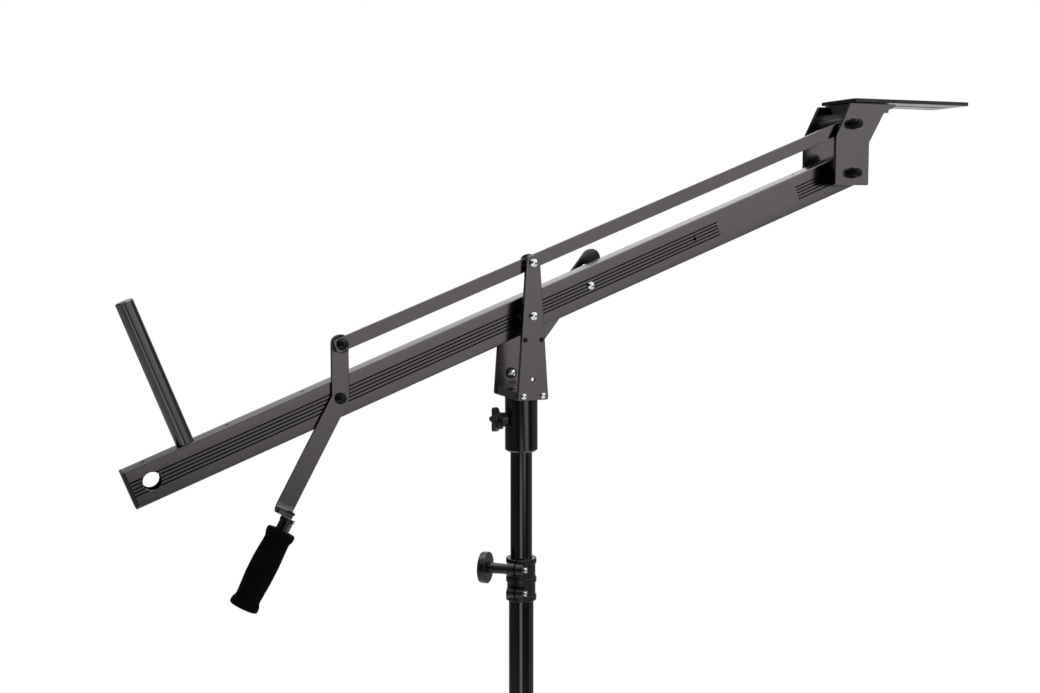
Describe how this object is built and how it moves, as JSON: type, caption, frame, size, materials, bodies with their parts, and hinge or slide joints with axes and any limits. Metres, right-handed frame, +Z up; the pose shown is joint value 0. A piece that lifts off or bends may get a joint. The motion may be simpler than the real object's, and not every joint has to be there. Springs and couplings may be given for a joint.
{
  "type": "camera jib crane",
  "caption": "Camera jib crane: a grooved boom on a yoke and light stand, a parallelogram link keeping the camera plate level, a rear lever with foam grip.",
  "frame": {"origin": "on the floor, below the stand column's axis", "axes": "+Z up along the column, +X towards the camera plate, +Y away from the boom side that carries the link and the rear lever"},
  "size_m": [1.3722, 0.8578, 1.6333],
  "materials": {
    "anodised": "dark warm grey anodised, satin",
    "black_coat": "smooth black coat, glossy",
    "black_plastic": "black, fine grain",
    "black_steel": "black oxide, domed caps",
    "bright_steel": "polished",
    "foam": "matt closed-cell foam",
    "foot_rubber": "matt"
  },
  "bodies": {
    "stand_base": {"lower_tube": "black_coat", "clamp_collar": "black_plastic", "strut_ring": "black_plastic"},
    "leg_hub": {"leg_hub": "black_plastic"},
    "hub_knob": {"hub_knob": "black_plastic"},
    "riser": {"riser_tube": "black_coat"},
    "round_knob": {"round_knob": "black_plastic"},
    "yoke": {"swivel_sleeve": "black_coat", "yoke_near_plate": "anodised", "yoke_far_plate": "anodised", "yoke_base_block": "anodised", "yoke_foot_screw_rear": "bright_steel", "yoke_foot_screw_front": "bright_steel", "fulcrum_bolt": "bright_steel", "fulcrum_nut": "bright_steel", "fulcrum_near_spacer": "black_plastic", "fulcrum_far_spacer": "black_plastic", "yoke_link_bolt": "bright_steel", "yoke_link_spacer": "black_plastic", "yoke_link_nut": "black_plastic", "brake_strut_bolt": "bright_steel"},
    "star_knob": {"star_knob": "black_plastic"},
    "boom": {"boom_beam": "anodised", "boom_tail_cap": "black_plastic", "boom_head_cap": "black_plastic", "weight_rod": "black_coat", "lever_lower_bolt": "black_steel", "lever_lower_nut": "bright_steel", "clamp_bolt": "bright_steel", "clamp_spacer": "black_plastic"},
    "link": {"link_bar": "anodised"},
    "lever": {"lever_strap": "anodised", "handle_rod": "black_coat", "foam_grip": "foam", "lever_upper_bolt": "black_steel", "lever_link_disc": "black_plastic"},
    "head": {"head_near_plate": "anodised", "head_far_plate": "anodised", "head_cross_block": "anodised", "head_top_plate": "black_coat", "camera_plate": "black_coat", "head_lower_bolt": "black_steel", "head_lower_nut": "black_steel", "head_upper_bolt": "black_steel", "head_upper_nut": "black_steel", "head_near_spacer": "black_plastic", "head_far_spacer": "black_plastic", "head_link_spacer": "black_plastic", "head_cross_tube": "black_plastic"},
    "brake_strut": {"brake_strut": "anodised"},
    "clamp_lever": {"clamp_lever": "black_plastic"},
    "leg_a": {"leg_a": "black_coat", "foot_a": "foot_rubber"},
    "strut_a": {"strut_a": "black_coat"},
    "leg_b": {"leg_b": "black_coat", "foot_b": "foot_rubber"},
    "strut_b": {"strut_b": "black_coat"},
    "leg_c": {"leg_c": "black_coat", "foot_c": "foot_rubber"},
    "strut_c": {"strut_c": "black_coat"}
  },
  "joints": [
    {"name": "riser_slide", "type": "slide", "parent": "stand_base", "child": "riser", "axis": [0, 0, 1], "range_m": [-0.16, 0.3]},
    {"name": "round_knob_turn", "type": "hinge", "parent": "stand_base", "child": "round_knob", "pos_m": [-0.02649, -0.00926, 0.9143], "axis": [-0.7716, 0.6361, 0], "continuous": true},
    {"name": "yoke_pan", "type": "hinge", "parent": "riser", "child": "yoke", "pos_m": [0, 0, 1.134], "axis": [0, 0, 1], "continuous": true},
    {"name": "star_knob_turn", "type": "hinge", "parent": "yoke", "child": "star_knob", "pos_m": [-0.0241, 0, 1.1415], "axis": [-1, 0, 0], "continuous": true},
    {"name": "boom_tilt", "type": "hinge", "parent": "yoke", "child": "boom", "pos_m": [0, 0, 1.3], "axis": [0, -1, 0], "range_deg": [-46, 9]},
    {"name": "link_swing", "type": "hinge", "parent": "yoke", "child": "link", "pos_m": [0, 0, 1.3781], "axis": [0, -1, 0], "range_deg": [-46, 9]},
    {"name": "lever_swing", "type": "hinge", "parent": "boom", "child": "lever", "pos_m": [-0.28569, 0, 1.18844], "axis": [0, -1, 0], "range_deg": [-9, 46]},
    {"name": "head_level", "type": "hinge", "parent": "boom", "child": "head", "pos_m": [0.55387, 0, 1.51628], "axis": [0, -1, 0], "range_deg": [-9, 46]},
    {"name": "brake_swing", "type": "hinge", "parent": "yoke", "child": "brake_strut", "pos_m": [0, 0, 1.207], "axis": [0, -1, 0], "range_deg": [-28, 5.6]},
    {"name": "clamp_turn", "type": "hinge", "parent": "boom", "child": "clamp_lever", "pos_m": [0.10703, 0, 1.34179], "axis": [0, -1, 0], "range_deg": [-110, 20]},
    {"name": "hub_slide", "type": "slide", "parent": "stand_base", "child": "leg_hub", "axis": [0, 0, 1], "range_m": [0, 0.2216]},
    {"name": "hub_knob_turn", "type": "hinge", "parent": "leg_hub", "child": "hub_knob", "pos_m": [-0.01974, 0.0114, 0.42], "axis": [-0.866, 0.5, 0], "continuous": true},
    {"name": "leg_a_fold", "type": "hinge", "parent": "leg_hub", "child": "leg_a", "pos_m": [0, 0.036, 0.42], "axis": [-1, 0, 0], "range_deg": [0, 48]},
    {"name": "strut_a_fold", "type": "hinge", "parent": "leg_a", "child": "strut_a", "pos_m": [0, 0.26452, 0.24146], "axis": [-1, 0, 0], "range_deg": [-97, 0]},
    {"name": "leg_b_fold", "type": "hinge", "parent": "leg_hub", "child": "leg_b", "pos_m": [-0.03118, -0.018, 0.42], "axis": [0.5, -0.866, 0], "range_deg": [0, 48]},
    {"name": "strut_b_fold", "type": "hinge", "parent": "leg_b", "child": "strut_b", "pos_m": [-0.22908, -0.13226, 0.24146], "axis": [0.5, -0.866, 0], "range_deg": [-97, 0]},
    {"name": "leg_c_fold", "type": "hinge", "parent": "leg_hub", "child": "leg_c", "pos_m": [0.03118, -0.018, 0.42], "axis": [0.5, 0.866, 0], "range_deg": [0, 48]},
    {"name": "strut_c_fold", "type": "hinge", "parent": "leg_c", "child": "strut_c", "pos_m": [0.22908, -0.13226, 0.24146], "axis": [0.5, 0.866, 0], "range_deg": [-97, 0]}
  ],
  "couplings": [
    {"joint": "link_swing", "follows": "boom_tilt", "ratio": 1},
    {"joint": "lever_swing", "follows": "boom_tilt", "ratio": -1},
    {"joint": "head_level", "follows": "boom_tilt", "ratio": -1},
    {"joint": "brake_swing", "follows": "boom_tilt", "ratio": 0.605},
    {"joint": "hub_slide", "follows": "leg_a_fold", "m_per_rad": 0.2644},
    {"joint": "strut_a_fold", "follows": "leg_a_fold", "ratio": -2},
    {"joint": "leg_b_fold", "follows": "leg_a_fold", "ratio": 1},
    {"joint": "strut_b_fold", "follows": "leg_a_fold", "ratio": -2},
    {"joint": "leg_c_fold", "follows": "leg_a_fold", "ratio": 1},
    {"joint": "strut_c_fold", "follows": "leg_a_fold", "ratio": -2}
  ]
}
